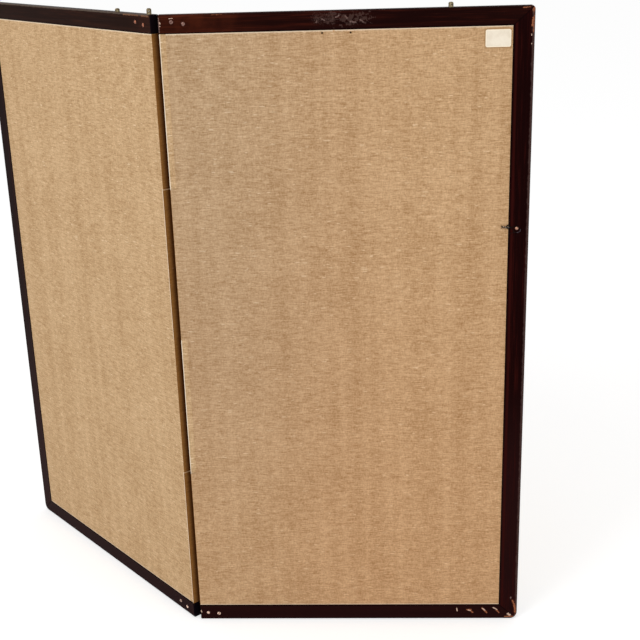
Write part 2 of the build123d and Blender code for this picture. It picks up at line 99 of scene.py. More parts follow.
class Shade:
    """Puts nodes into a material or a group, and joins them."""

    def __init__(self, tree):
        self.tree = tree

    def feed(self, socket, value):
        """Joins a socket to another node's output, or sets it to a plain value."""
        if isinstance(value, bpy.types.NodeSocket):
            self.tree.links.new(value, socket)
        else:
            socket.default_value = value

    def node(self, kind, feeds=None, **settings):
        """Adds a node, with its settings and what goes into its sockets."""
        node = self.tree.nodes.new(kind)
        for name, value in settings.items():
            setattr(node, name, value)
        for socket, value in (feeds or {}).items():
            self.feed(node.inputs[socket], value)
        return node

    def math(self, operation, *values, clamp=False):
        node = self.node("ShaderNodeMath", operation=operation, use_clamp=clamp)
        for socket, value in zip(node.inputs, values):
            self.feed(socket, value)
        return node.outputs[0]

    def vector(self, operation, *values):
        node = self.node("ShaderNodeVectorMath", operation=operation)
        for socket, value in zip(node.inputs, values):
            self.feed(socket, value)
        scalar = operation in ("DOT_PRODUCT", "LENGTH", "DISTANCE")
        return node.outputs["Value" if scalar else "Vector"]

    def scaled(self, vector, factor):
        """A vector times a number that may vary over the surface."""
        node = self.node("ShaderNodeVectorMath", {"Vector": vector}, operation="SCALE")
        self.feed(node.inputs["Scale"], factor)
        return node.outputs["Vector"]

    def mix(self, factor, first, second, blend="MIX"):
        node = self.node("ShaderNodeMix", data_type="RGBA", blend_type=blend)
        for index, value in ((0, factor), (6, first), (7, second)):
            self.feed(node.inputs[index], value)
        return node.outputs[2]

    def ease(self, value, low, high, from_value=0.0, to_value=1.0):
        """A smooth change from one value to another between two limits."""
        node = self.node("ShaderNodeMapRange", interpolation_type="SMOOTHSTEP")
        for socket, setting in zip(node.inputs, (value, low, high, from_value, to_value)):
            self.feed(socket, setting)
        return node.outputs[0]

    def noise(self, vector, scale, detail=2.0, roughness=0.5):
        feeds = {"Vector": vector, "Scale": scale, "Detail": detail, "Roughness": roughness}
        return self.node("ShaderNodeTexNoise", feeds).outputs[0]

    def parts(self, vector):
        return self.node("ShaderNodeSeparateXYZ", {0: vector}).outputs

    def joined(self, x, y, z):
        return self.node("ShaderNodeCombineXYZ", {0: x, 1: y, 2: z}).outputs[0]

    def group(self, tree, **feeds):
        """Places a node group; an underscore stands for a space in a socket's name."""
        node = self.node("ShaderNodeGroup", node_tree=tree)
        for name, value in feeds.items():
            self.feed(node.inputs[name.replace("_", " ")], value)
        return node.outputs


def new_group(name, inputs, outputs):
    """An empty node group with named inputs and outputs."""
    tree = bpy.data.node_groups.new(name, "ShaderNodeTree")
    for label, kind, default in inputs:
        socket = tree.interface.new_socket(label, in_out="INPUT", socket_type=kind)
        if default is not None:
            socket.default_value = default
    for label, kind in outputs:
        tree.interface.new_socket(label, in_out="OUTPUT", socket_type=kind)
    shade = Shade(tree)
    return shade, shade.node("NodeGroupInput").outputs, shade.node("NodeGroupOutput")


NUMBER, VECTOR = "NodeSocketFloat", "NodeSocketVector"


def make_woven_group():
    """Plain-woven linen: uneven yarns both ways, pale slubs along the weft, soft bands."""
    shade, given, out = new_group(
        "woven linen",
        [("Vector", VECTOR, None), ("Thread", NUMBER, 1.4 * MM)],
        [("Tone", NUMBER), ("Slub", NUMBER), ("Height", NUMBER)],
    )
    u, depth, z = shade.parts(given["Vector"])
    across = shade.math("ADD", u, depth)
    sway = shade.noise(shade.joined(across, z, 0.0), 14.0)
    up = shade.math("MULTIPLY_ADD", sway, 4.0 * MM, z)
    over = shade.math("MULTIPLY_ADD", sway, 3.0 * MM, across)
    rows = shade.math("DIVIDE", up, given["Thread"])
    columns = shade.math("DIVIDE", over, given["Thread"])
    row = shade.math("FLOOR", rows)
    column = shade.math("FLOOR", columns)

    def yarn(along, count, pitch, step, seed, detail):
        """The unevenness of each yarn along its length, different from its neighbours'."""
        place = shade.joined(
            shade.math("MULTIPLY", along, pitch), shade.math("MULTIPLY", count, step), seed)
        return shade.noise(place, 1.0, detail)

    weft = yarn(over, row, pitch=70.0, step=3.7, seed=0.0, detail=2.0)
    fine_weft = yarn(over, row, pitch=300.0, step=2.3, seed=6.0, detail=1.0)
    warp = yarn(up, column, pitch=150.0, step=3.7, seed=4.0, detail=2.0)
    thick = yarn(over, row, pitch=85.0, step=5.3, seed=9.0, detail=1.0)
    slub = shade.ease(thick, 0.66, 0.78)
    bands = shade.noise(shade.joined(shade.math("MULTIPLY", across, 60.0), z, 2.0), 1.0, 2.0)
    patches = shade.noise(shade.joined(across, z, 3.0), 11.0, 3.0)
    tone = shade.math("MULTIPLY_ADD", weft, 1.5, -0.75)
    for yarns, weight in ((fine_weft, 0.9), (warp, 0.95), (bands, 0.45), (patches, 0.35)):
        share = shade.math("MULTIPLY_ADD", yarns, weight, -weight / 2)
        tone = shade.math("ADD", tone, share)
    shade.feed(out.inputs["Tone"], shade.math("ADD", tone, 0.5, clamp=True))
    shade.feed(out.inputs["Slub"], slub)
    crown = shade.math("ABSOLUTE", shade.math("SINE", shade.math("MULTIPLY", rows, math.pi)))
    ridge = shade.math("ABSOLUTE", shade.math("SINE", shade.math("MULTIPLY", columns, math.pi)))
    weave = shade.math("MULTIPLY", crown, ridge)
    height = shade.math("MULTIPLY_ADD", weave, 0.4, tone)
    shade.feed(out.inputs["Height"], shade.math("ADD", height, slub))
    return shade.tree


def make_streak_group():
    """Lacquer brushed along a member: long streaks and small dull marks."""
    shade, given, out = new_group(
        "lacquer streaks",
        [("Vector", VECTOR, None), ("Scale", VECTOR, None)],
        [("Streak", NUMBER), ("Fleck", NUMBER), ("Height", NUMBER)],
    )
    brushed = shade.vector("MULTIPLY", given["Vector"], given["Scale"])
    broad = shade.noise(brushed, 1.0, 4.0, 0.6)
    fine = shade.noise(shade.vector("MULTIPLY", brushed, (3.0, 3.0, 3.0)), 1.0, 3.0, 0.6)
    streak = shade.math("MULTIPLY", shade.ease(broad, 0.42, 0.70), shade.ease(fine, 0.35, 0.65))
    shade.feed(out.inputs["Streak"], streak)
    speck = shade.noise(given["Vector"], 900.0, 2.0)
    shade.feed(out.inputs["Fleck"], shade.ease(speck, 0.68, 0.80))
    shade.feed(out.inputs["Height"], shade.math("MULTIPLY_ADD", fine, 0.5, broad))
    return shade.tree


def make_scrape_group():
    """A ragged stroke from one point of a leaf to another."""
    shade, given, out = new_group(
        "scrape",
        [
            ("Vector", VECTOR, None),
            ("Start", VECTOR, None),
            ("End", VECTOR, None),
            ("Half Width", NUMBER, 1.0 * MM),
            ("Ragged", NUMBER, 0.5),
            ("Grain", NUMBER, 900.0),
        ],
        [("Mask", NUMBER)],
    )
    run = shade.vector("SUBTRACT", given["End"], given["Start"])
    away = shade.vector("SUBTRACT", given["Vector"], given["Start"])
    length_squared = shade.math("MAXIMUM", shade.vector("DOT_PRODUCT", run, run), 1e-9)
    share = shade.math(
        "DIVIDE", shade.vector("DOT_PRODUCT", away, run), length_squared, clamp=True
    )
    nearest = shade.scaled(run, share)
    distance = shade.vector("LENGTH", shade.vector("SUBTRACT", away, nearest))
    rough = shade.noise(given["Vector"], given["Grain"], 3.0, 0.7)
    swing = shade.math("MULTIPLY", shade.math("SUBTRACT", rough, 0.5), given["Ragged"])
    swing = shade.math("MULTIPLY", swing, given["Half Width"])
    distance = shade.math("MULTIPLY_ADD", swing, 4.0, distance)
    inner = shade.math("MULTIPLY", given["Half Width"], 0.7)
    mask = shade.ease(distance, inner, given["Half Width"], 1.0, 0.0)
    shade.feed(out.inputs["Mask"], mask)
    return shade.tree


def make_arris_group():
    """How near a point is to a frame's outer arrises, its corners and its panel."""
    shade, given, out = new_group(
        "frame arris",
        [("Vector", VECTOR, None), ("Width", NUMBER, 2.0 * MM)],
        [("Arris", NUMBER), ("Corner", NUMBER), ("Seam And Shadow", NUMBER), ("Bead", NUMBER)],
    )
    u, depth, z = shade.parts(given["Vector"])
    from_face = shade.math("MINIMUM", depth, shade.math("SUBTRACT", LEAF_THICKNESS, depth))
    from_side = shade.math("SUBTRACT", LEAF_WIDTH, u)
    from_end = shade.math("MINIMUM", z, shade.math("SUBTRACT", LEAF_HEIGHT, z))
    # The hinge end counts as an arris too, so the arris colour, partly painted highlight, runs down
    # it
    from_hinge = shade.math("MULTIPLY_ADD", u, 3.0, -3 * HINGE_EDGE)
    from_edge = shade.math("MINIMUM", from_side, shade.math("MINIMUM", from_end, from_hinge))
    both = shade.math("MAXIMUM", from_face, from_edge)
    waver = shade.math("SUBTRACT", shade.noise(given["Vector"], 160.0, 4.0, 0.65), 0.5)
    both = shade.math("ADD", both, shade.math("MULTIPLY", waver, given["Width"]))
    full = shade.math("MULTIPLY", given["Width"], 0.5)
    shade.feed(out.inputs["Arris"], shade.ease(both, full, given["Width"], 1.0, 0.0))
    square = shade.math("ADD", shade.math("POWER", from_side, 2), shade.math("POWER", from_end, 2))
    corner = shade.math("MULTIPLY_ADD", waver, 14 * MM, shade.math("SQRT", square))
    shade.feed(out.inputs["Corner"], shade.ease(corner, 3 * MM, 11 * MM, 1.0, 0.0))
    beside = shade.math("SUBTRACT", u, PANEL_FREE)
    above = shade.math("SUBTRACT", z, PANEL_TOP)
    below = shade.math("SUBTRACT", PANEL_BOTTOM, z)
    inner = shade.math("MAXIMUM", beside, shade.math("MAXIMUM", above, below))
    shade.feed(out.inputs["Seam And Shadow"], shade.ease(inner, 1.0 * MM, 1.8 * MM, 1.0, 0.0))
    bead = shade.math("ABSOLUTE", shade.math("SUBTRACT", inner, 4.6 * MM))
    shade.feed(out.inputs["Bead"], shade.ease(bead, 0.8 * MM, 2.4 * MM, 1.0, 0.0))
    return shade.tree


def make_linked_circle_group():
    """The linked-circle figure: petals where the circles overlap, and their outlines."""
    shade, given, out = new_group(
        "linked circles",
        [("Vector", VECTOR, None), ("Pitch", NUMBER, 11 * MM)],
        [("Petal", NUMBER), ("Outline", NUMBER)],
    )
    u, _, z = shade.parts(given["Vector"])
    folded = []
    for value in (u, z):
        cell = shade.math("FRACT", shade.math("DIVIDE", value, given["Pitch"]))
        folded.append(shade.math("ABSOLUTE", shade.math("SUBTRACT", cell, 0.5)))
    spot = shade.joined(folded[0], folded[1], 0.0)
    left = shade.vector("DISTANCE", spot, (-0.5, 0.5, 0.0))
    below = shade.vector("DISTANCE", spot, (0.5, -0.5, 0.0))
    inside = shade.math("SUBTRACT", math.sqrt(0.5), shade.math("MINIMUM", left, below))
    shade.feed(out.inputs["Petal"], shade.ease(inside, 0.03, 0.05))
    line = shade.math("ABSOLUTE", inside)
    shade.feed(out.inputs["Outline"], shade.ease(line, 0.02, 0.035, 1.0, 0.0))
    return shade.tree


WOVEN = make_woven_group()
STREAKS = make_streak_group()
SCRAPE = make_scrape_group()
ARRIS = make_arris_group()
LINKED_CIRCLES = make_linked_circle_group()


# ---------------------------------------------------------------- materials

def new_material(name):
    """A material with its surface shader, ready for nodes."""
    material = bpy.data.materials.new(name)
    material.use_nodes = True
    shade = Shade(material.node_tree)
    surface = material.node_tree.nodes["Principled BSDF"]
    return material, shade, surface


def leaf_place(shade, side):
    """The point's place on its own leaf laid flat: (u, depth, z) in metres."""
    coordinates = shade.node("ShaderNodeTexCoord").outputs["Object"]
    mapping = shade.node("ShaderNodeMapping", {"Vector": coordinates})
    mapping.inputs["Location"].default_value = LEAF_SHIFT
    mapping.inputs["Rotation"].default_value = (0.0, 0.0, TURN)
    mapping.inputs["Scale"].default_value = (side, 1.0, 1.0)
    return mapping.outputs[0]


def bump(shade, surface, height, strength, distance=0.3 * MM):
    """Gives a surface its fine relief."""
    node = shade.node("ShaderNodeBump", {"Height": height, "Strength": strength})
    node.inputs["Distance"].default_value = distance
    shade.feed(surface.inputs["Normal"], node.outputs[0])


FINE_GRAIN, BROAD_GRAIN = 900.0, 240.0


def stroke(shade, place, start, end, half_width, ragged, grain=FINE_GRAIN):
    """The mask of one scrape on the back of a leaf, with its ends as (u, z) in mm."""
    ends = [(u * MM, LEAF_THICKNESS, z * MM) for u, z in (start, end)]
    outputs = shade.group(
        SCRAPE,
        Vector=place,
        Start=ends[0],
        End=ends[1],
        Half_Width=half_width * MM,
        Ragged=ragged,
        Grain=grain,
    )
    return outputs["Mask"]


LABEL_LEFT, LABEL_RIGHT = 422.9 * MM, 455.7 * MM
LABEL_BOTTOM, LABEL_TOP = 857.7 * MM, 880.0 * MM
LABEL_THICKNESS = 0.16 * MM
LABEL_LIFT = 0.02 * MM
LABEL_CORNER = 2.4 * MM
LABEL_CORNER_STEPS = 6


def label_inset(shade, u, z):
    """How far inside the label's outline a point lies; outside it is below zero."""
    from_side = shade.math("MINIMUM", shade.math("SUBTRACT", u, LABEL_LEFT),
                           shade.math("SUBTRACT", LABEL_RIGHT, u))
    from_end = shade.math("MINIMUM", shade.math("SUBTRACT", z, LABEL_BOTTOM),
                          shade.math("SUBTRACT", LABEL_TOP, z))
    return shade.math("MINIMUM", from_side, from_end)


LINEN_DARK = linear(167, 130, 88)
LINEN_PALE = linear(222, 189, 148)
SLUB_COLOUR = linear(242, 218, 182)
# Painted highlight for the linen where it turns in or rolls over an arris
LINEN_HIGHLIGHT = linear(252, 234, 208)
# Linen in the hinge fold: soiled and darkened by painted shade, with the deepest painted shade
# towards its front
FOLD_SOIL_AND_SHADE = linear(131, 87, 38)
PALE_FOLD_SOIL_AND_SHADE = linear(160, 112, 58)
DEEP_FOLD_SHADE = linear(76, 38, 8)
# Multipliers for the second leaf's linen: warmer and darker, and painted shade beside the hinge
WARMER_DARKER = (0.97, 0.86, 0.80, 1.0)
HINGE_SIDE_SHADE = (0.88, 0.885, 0.93, 1.0)
LABEL_HALO_COLOUR = linear(150, 112, 68)
HOLE_COLOUR = linear(48, 28, 14)
STAIN_COLOUR = linear(192, 132, 70)
SPOT_REACH = 1.8


def weave_linen(name, side, dark, pale, slub_share):
    """Linen in plain weave with pale slubs: the material, its parts and its colour."""
    material, shade, surface = new_material(name)
    place = leaf_place(shade, side)
    woven = shade.group(WOVEN, Vector=place, Thread=1.1 * MM)
    colour = shade.mix(woven["Tone"], dark, pale)
    surface.inputs["Roughness"].default_value = 0.92
    surface.inputs["Specular IOR Level"].default_value = 0.12
    bump(shade, surface, woven["Height"], 0.3, 0.22 * MM)
    slub = shade.math("MULTIPLY", woven["Slub"], slub_share)
    return material, shade, surface, place, shade.mix(slub, colour, SLUB_COLOUR)


def frayed_line(shade, place, value, height, half_width):
    """The mask of a thin uneven line where a place's value comes to a height."""
    away = shade.math("ABSOLUTE", shade.math("SUBTRACT", value, height))
    fray = shade.noise(place, 420.0, 3.0)
    away = shade.math("MULTIPLY_ADD", fray, -1.6 * MM, away)
    return shade.ease(away, half_width - 1.0 * MM, half_width, 1.0, 0.0)


def make_linen(name, side, holes=(), stain=None, label=False):
    """The tan linen over a back, with painted highlights where it turns in at its head and foot.

    The second leaf's is warmer and darker away from the hinge and towards its foot,
    and has painted shade beside the hinge.
    """
    material, shade, surface, place, colour = weave_linen(
        name, side, LINEN_DARK, LINEN_PALE, 0.65)
    u, _, z = shade.parts(place)
    # The second leaf's linen grows warmer and darker away from the hinge and towards the foot
    if side == SECOND:
        warm_share = shade.math("MULTIPLY", shade.ease(u, 30 * MM, 260 * MM), 0.45)
        warm_share = shade.math("ADD", warm_share, shade.ease(z, 60 * MM, 860 * MM, 0.55, 0.0))
        colour = shade.mix(warm_share, colour, shade.mix(1.0, colour, WARMER_DARKER, blend="MULTIPLY"))
        # Painted shade on the linen beside the hinge
        hinge_side_shade = shade.ease(u, 30 * MM, 380 * MM, 1.0, 0.0)
        hinge_side_shade = shade.math("MULTIPLY", hinge_side_shade, shade.ease(z, 80 * MM, 480 * MM, 0.4, 1.0))
        colour = shade.mix(hinge_side_shade, colour, shade.mix(1.0, colour, HINGE_SIDE_SHADE, blend="MULTIPLY"))
    # Painted highlights along the head and foot, where the linen turns in
    head = frayed_line(shade, place, z, PANEL_TOP, 1.2 * MM)
    foot = frayed_line(shade, place, z, PANEL_BOTTOM, 1.2 * MM)
    colour = shade.mix(shade.math("MULTIPLY", head, 0.55), colour, LINEN_HIGHLIGHT)
    colour = shade.mix(shade.math("MULTIPLY", foot, 0.35), colour, LINEN_HIGHLIGHT)
    for spot in holes:
        mask = stroke(shade, place, spot, spot, SPOT_REACH, 0.1)
        colour = shade.mix(mask, colour, HOLE_COLOUR)
    if stain:
        mask = stroke(shade, place, stain, stain, SPOT_REACH, 0.8)
        colour = shade.mix(shade.math("MULTIPLY", mask, 0.6), colour, STAIN_COLOUR)
    if label:
        # A darker brown halo on the cloth round the label
        beside = shade.math("SUBTRACT", label_inset(shade, u, z), -2.2 * MM)
        halo = shade.math("MULTIPLY_ADD", shade.noise(place, 600.0, 3.0), 1.6 * MM, beside)
        halo = shade.ease(halo, 0.6 * MM, 2.0 * MM, 0.0, 0.5)
        colour = shade.mix(halo, colour, LABEL_HALO_COLOUR)
    shade.feed(surface.inputs["Base Color"], colour)
    return material


def make_rolled_linen(name, side):
    """A hinge strip's linen: painted highlight on its roll, soil and painted shade in the fold."""
    material, shade, surface, place, colour = weave_linen(
        name, side, LINEN_DARK, LINEN_PALE, 0.8)
    u, depth, _ = shade.parts(place)
    # Painted highlight along the roll, with a ragged edge
    highlight_fray = shade.noise(place, 60.0, 4.0, 0.6)
    strip_highlight = shade.ease(shade.math("MULTIPLY_ADD", highlight_fray, 1.2 * MM, u), 1.7 * MM, 2.7 * MM, 1.0, 0.0)
    edge = shade.ease(depth, 12.4 * MM, 13.2 * MM)
    # Where the strip turns into the fold: soiled linen with painted shade, darker towards the front
    inside = shade.mix(shade.ease(depth, 0.0, 12.0 * MM), DEEP_FOLD_SHADE, FOLD_SOIL_AND_SHADE)
    outside = shade.mix(shade.math("MULTIPLY", strip_highlight, 0.85), colour, LINEN_HIGHLIGHT)
    colour = shade.mix(edge, inside, outside)
    shade.feed(surface.inputs["Base Color"], colour)
    return material


def make_fold_linen(name, side, cut_edges=()):
    """Linen inside the fold: soil, painted shade deepening to the front, pale where strips meet."""
    material, shade, surface, place, colour = weave_linen(
        name, side, FOLD_SOIL_AND_SHADE, PALE_FOLD_SOIL_AND_SHADE, 0.15)
    _, depth, z = shade.parts(place)
    # Painted shade deepening towards the front of the fold
    unshaded = shade.ease(depth, 1.0 * MM, 13.0 * MM)
    colour = shade.mix(unshaded, DEEP_FOLD_SHADE, colour)
    for height in cut_edges:
        cut = frayed_line(shade, place, z, height, 1.1 * MM)
        colour = shade.mix(shade.math("MULTIPLY", cut, 0.6), colour, LINEN_PALE)
    shade.feed(surface.inputs["Base Color"], colour)
    return material


ALONG_RAIL = (8.0, 260.0, 260.0)
ALONG_STILE = (260.0, 260.0, 8.0)
LACQUER_BLACK = linear(12, 3, 4)
DUSTED_LACQUER = linear(33, 12, 12)
SHADED_END = linear(10, 9, 15)
WORN_ARRIS = linear(92, 70, 64)
BARE_WOOD = linear(158, 96, 66)
WORN_EDGE = linear(138, 96, 70)
PALE_SCUFF = linear(150, 122, 114)
PALE_DOT = linear(226, 192, 170)
BROAD_MARK = 3.0


def make_lacquer(name, side, along, deep, brown, streaked, bead, arris, marks=(), painted_sheen=None):
    """Old dark lacquer: streaks along the member, thin arrises, worn corners.

    The arris is (width in mm, colour), its colour partly wear and partly a painted
    highlight, and the painted sheen (from, to, colour) is a browner stretch between
    two distances along the leaf, in mm.
    """
    material, shade, surface = new_material(name)
    place = leaf_place(shade, side)
    streaks = shade.group(STREAKS, Vector=place, Scale=along)
    arris_width, arris_wear_and_highlight = arris
    edges = shade.group(ARRIS, Vector=place, Width=arris_width * MM)
    u, _, z = shade.parts(place)
    ground = shade.mix(shade.ease(z, 250 * MM, 420 * MM, 1.0, 0.0), deep, DUSTED_LACQUER)
    colour = shade.mix(shade.math("MULTIPLY", streaks["Streak"], streaked), ground, brown)
    # A browner stretch of painted sheen along part of the rail
    if painted_sheen:
        low, high, paint = painted_sheen
        clouds = shade.noise(place, 34.0, 3.0)
        sheen_share = shade.math("MULTIPLY_ADD", streaks["Streak"], 0.5, 0.25)
        sheen_share = shade.math("ADD", sheen_share, shade.ease(clouds, 0.45, 0.65, 0.0, 0.35))
        sheen_share = shade.math("MULTIPLY", sheen_share, shade.ease(u, low * MM, high * MM, 0.9, 0.0))
        colour = shade.mix(sheen_share, colour, paint)
    colour = shade.mix(shade.math("MULTIPLY", edges["Bead"], bead), colour, brown)
    # A dark line where the frame meets the panel: partly the seam, partly painted shadow
    colour = shade.mix(shade.math("MULTIPLY", edges["Seam And Shadow"], 0.8), colour, LACQUER_BLACK)
    colour = shade.mix(shade.math("MULTIPLY", streaks["Fleck"], 0.15), colour, WORN_ARRIS)
    # The arrises: partly rubbed, partly a painted highlight
    rubbed = shade.math("MULTIPLY", edges["Arris"], 0.75)
    if side == FIRST:
        rubbed = shade.math("MULTIPLY", rubbed, shade.ease(u, 3 * MM, 9 * MM))
        end = shade.ease(u, 0.9 * MM, 1.8 * MM, 0.85, 0.0)
        colour = shade.mix(end, colour, SHADED_END)
    colour = shade.mix(rubbed, colour, arris_wear_and_highlight)
    worn_corner = shade.math("MULTIPLY", edges["Corner"], edges["Arris"])
    colour = shade.mix(shade.math("MULTIPLY", worn_corner, 0.9), colour, BARE_WOOD)
    roughness = shade.ease(streaks["Streak"], 0.0, 1.0, 0.34, 0.5)
    for start, end, half_width, ragged, paint, cover in marks + MITRES:
        grain = BROAD_GRAIN if half_width > BROAD_MARK else FINE_GRAIN
        mask = stroke(shade, place, start, end, half_width, ragged, grain)
        mask = shade.math("MULTIPLY", mask, cover)
        colour = shade.mix(mask, colour, paint)
        roughness = shade.math("MAXIMUM", roughness, shade.math("MULTIPLY", mask, 0.85))
    shade.feed(surface.inputs["Base Color"], colour)
    shade.feed(surface.inputs["Roughness"], roughness)
    surface.inputs["Specular IOR Level"].default_value = 0.01
    bump(shade, surface, streaks["Height"], 0.12, 0.2 * MM)
    return material


def make_cedar(name, side, along):
    """Planed cedar for the hidden core."""
    material, shade, surface = new_material(name)
    place = leaf_place(shade, side)
    streaks = shade.group(STREAKS, Vector=place, Scale=along)
    colour = shade.mix(streaks["Streak"], linear(214, 180, 132), linear(182, 134, 88))
    shade.feed(surface.inputs["Base Color"], colour)
    surface.inputs["Roughness"].default_value = 0.75
    surface.inputs["Specular IOR Level"].default_value = 0.25
    bump(shade, surface, streaks["Height"], 0.2)
    return material


def make_backing_paper(name, side):
    """Thick layered paper with long fibres."""
    material, shade, surface = new_material(name)
    place = leaf_place(shade, side)
    fibres = shade.noise(shade.vector("MULTIPLY", place, (300.0, 300.0, 90.0)), 1.0, 4.0)
    colour = shade.mix(fibres, linear(226, 214, 186), linear(196, 178, 142))
    shade.feed(surface.inputs["Base Color"], colour)
    surface.inputs["Roughness"].default_value = 0.9
    bump(shade, surface, fibres, 0.2)
    return material


GOLD_SQUARE = 109 * MM
GOLD_OVERLAP = 1.1 * MM
SQUARES_APART = 7


def make_gold_leaf(name, side):
    """Squares of gold leaf laid in rows, with overlaps, rubs and a soft lustre."""
    material, shade, surface = new_material(name)
    place = leaf_place(shade, side)
    if side == SECOND:
        place = shade.vector("ADD", place, (SQUARES_APART * GOLD_SQUARE, 0.0, 0.0))
    u, _, z = shade.parts(place)
    squares = shade.node("ShaderNodeTexBrick", {
        "Vector": shade.joined(u, z, 0.0),
        "Scale": 1.0,
        "Mortar Size": GOLD_OVERLAP,
        "Mortar Smooth": 0.4,
        "Brick Width": GOLD_SQUARE,
        "Row Height": GOLD_SQUARE,
    }, offset=0.0)
    squares.inputs["Color1"].default_value = linear(214, 172, 88)
    squares.inputs["Color2"].default_value = linear(200, 156, 74)
    squares.inputs["Mortar"].default_value = linear(228, 190, 108)
    rubbed = shade.noise(place, 38.0, 6.0, 0.7)
    clouds = shade.noise(place, 7.0, 4.0, 0.6)
    colour = shade.mix(shade.ease(clouds, 0.35, 0.7, 0.0, 0.35), squares.outputs[0],
                       linear(176, 130, 62))
    colour = shade.mix(shade.ease(rubbed, 0.66, 0.78, 0.0, 0.5), colour, linear(148, 104, 62))
    shade.feed(surface.inputs["Base Color"], colour)
    surface.inputs["Metallic"].default_value = 0.75
    shade.feed(surface.inputs["Roughness"], shade.ease(rubbed, 0.3, 0.8, 0.38, 0.62))
    bump(shade, surface, shade.math("ADD", rubbed, squares.outputs[1]), 0.15)
    return material


def make_brocade(name, side):
    """Green silk brocade with linked circles in dull gold thread."""
    material, shade, surface = new_material(name)
    place = leaf_place(shade, side)
    figure = shade.group(LINKED_CIRCLES, Vector=place, Pitch=11 * MM)
    u, _, z = shade.parts(place)
    twill = shade.math("SINE", shade.math("MULTIPLY", shade.math("ADD", u, z), 9000.0))
    ground = shade.mix(shade.noise(place, 30.0, 3.0), linear(58, 74, 56), linear(78, 92, 66))
    colour = shade.mix(shade.math("MULTIPLY", figure["Petal"], 0.55), ground,
                       linear(150, 124, 70))
    colour = shade.mix(shade.math("MULTIPLY", figure["Outline"], 0.8), colour,
                       linear(206, 172, 98))
    colour = shade.mix(shade.ease(twill, -1.0, 1.0, 0.0, 0.18), colour, linear(30, 34, 26))
    shade.feed(surface.inputs["Base Color"], colour)
    surface.inputs["Roughness"].default_value = 0.6
    surface.inputs["Sheen Weight"].default_value = 0.2
    raised = shade.math("MULTIPLY_ADD", figure["Outline"], 1.5, figure["Petal"])
    bump(shade, surface, shade.math("MULTIPLY_ADD", twill, 0.3, raised), 0.4)
    return material


def make_old_metal(name, bright, dull, roughness, metallic, grain):
    """Handled metal: bright and rubbed in some patches, dull and dark in others."""
    material, shade, surface = new_material(name)
    place = shade.node("ShaderNodeTexCoord").outputs["Object"]
    tarnish = shade.noise(place, grain, 4.0, 0.65)
    colour = shade.mix(shade.ease(tarnish, 0.38, 0.66), bright, dull)
    shade.feed(surface.inputs["Base Color"], colour)
    surface.inputs["Metallic"].default_value = metallic
    shade.feed(surface.inputs["Roughness"],
               shade.ease(tarnish, 0.3, 0.7, roughness, roughness + 0.25))
    bump(shade, surface, tarnish, 0.25, 0.1 * MM)
    return material


def make_label_paper(name, side):
    """Cream gummed paper, paler along its edges."""
    material, shade, surface = new_material(name)
    place = leaf_place(shade, side)
    fibres = shade.noise(place, 900.0, 4.0, 0.6)
    clouds = shade.noise(place, 110.0, 3.0)
    colour = shade.mix(shade.ease(clouds, 0.3, 0.7), linear(246, 234, 214), linear(234, 220, 198))
    colour = shade.mix(shade.ease(fibres, 0.6, 0.8, 0.0, 0.2), colour, linear(206, 188, 160))
    u, _, z = shade.parts(place)
    rim = shade.ease(label_inset(shade, u, z), 0.6 * MM, 1.9 * MM, 0.8, 0.0)
    colour = shade.mix(rim, colour, linear(255, 241, 214))
    shade.feed(surface.inputs["Base Color"], colour)
    surface.inputs["Roughness"].default_value = 0.7
    bump(shade, surface, fibres, 0.15, 0.1 * MM)
    return material


def make_nail_metal(name, side, top_colour):
    """Rubbed nail heads, brighter at the foot of the leaf than at its top."""
    material, shade, surface = new_material(name)
    place = leaf_place(shade, side)
    _, _, z = shade.parts(place)
    colour = shade.mix(shade.ease(z, 200 * MM, 700 * MM), linear(250, 212, 190), top_colour)
    tarnish = shade.noise(place, 520.0, 3.0, 0.6)
    colour = shade.mix(shade.ease(tarnish, 0.44, 0.60, 0.0, 0.85), colour, linear(70, 38, 30))
    shade.feed(surface.inputs["Base Color"], colour)
    surface.inputs["Metallic"].default_value = 0.35
    shade.feed(surface.inputs["Roughness"], shade.ease(tarnish, 0.3, 0.7, 0.42, 0.7))
    bump(shade, surface, tarnish, 0.25, 0.1 * MM)
    return material


WIRE_GLINTS = (
    ((457.2, 618.3), (457.2, 619.1), 1.75),
    ((451.8, 620.0), (454.4, 620.4), 1.9),
    ((451.0, 616.4), (455.6, 616.6), 1.7),
)
WIRE_SHEEN = ((470.5, 610.9), (474.2, 614.0), 2.6)


def make_wire_metal(name, side):
    """Old dark wire with bright glints on its tail and a dull sheen on its loop."""
    material, shade, surface = new_material(name)
    place = leaf_place(shade, side)
    tarnish = shade.noise(place, 560.0, 3.0, 0.6)
    glint = shade.ease(tarnish, 0.62, 0.70)
    for start, end, reach in WIRE_GLINTS:
        glint = shade.math("MAXIMUM", glint, stroke(shade, place, start, end, reach, 0.3))
    u, _, _ = shade.parts(place)
    glint = shade.math("MULTIPLY", glint, shade.ease(u, 458.5 * MM, 460.0 * MM, 1.0, 0.0))
    colour = shade.mix(glint, linear(20, 14, 12), linear(250, 244, 236))
    sheen = stroke(shade, place, *WIRE_SHEEN, 0.3)
    colour = shade.mix(shade.math("MULTIPLY", sheen, 0.8), colour, linear(92, 82, 88))
    shade.feed(surface.inputs["Base Color"], colour)
    surface.inputs["Metallic"].default_value = 0.1
    surface.inputs["Specular IOR Level"].default_value = 0.05
    shade.feed(surface.inputs["Roughness"], shade.ease(tarnish, 0.3, 0.7, 0.35, 0.6))
    return material


# Marks on the backs: start and end as (u, z) in mm, half width, raggedness, colour, cover
def marked(paint, cover, *strokes):
    """Marks that share a colour."""
    return tuple((*mark, paint, cover) for mark in strokes)


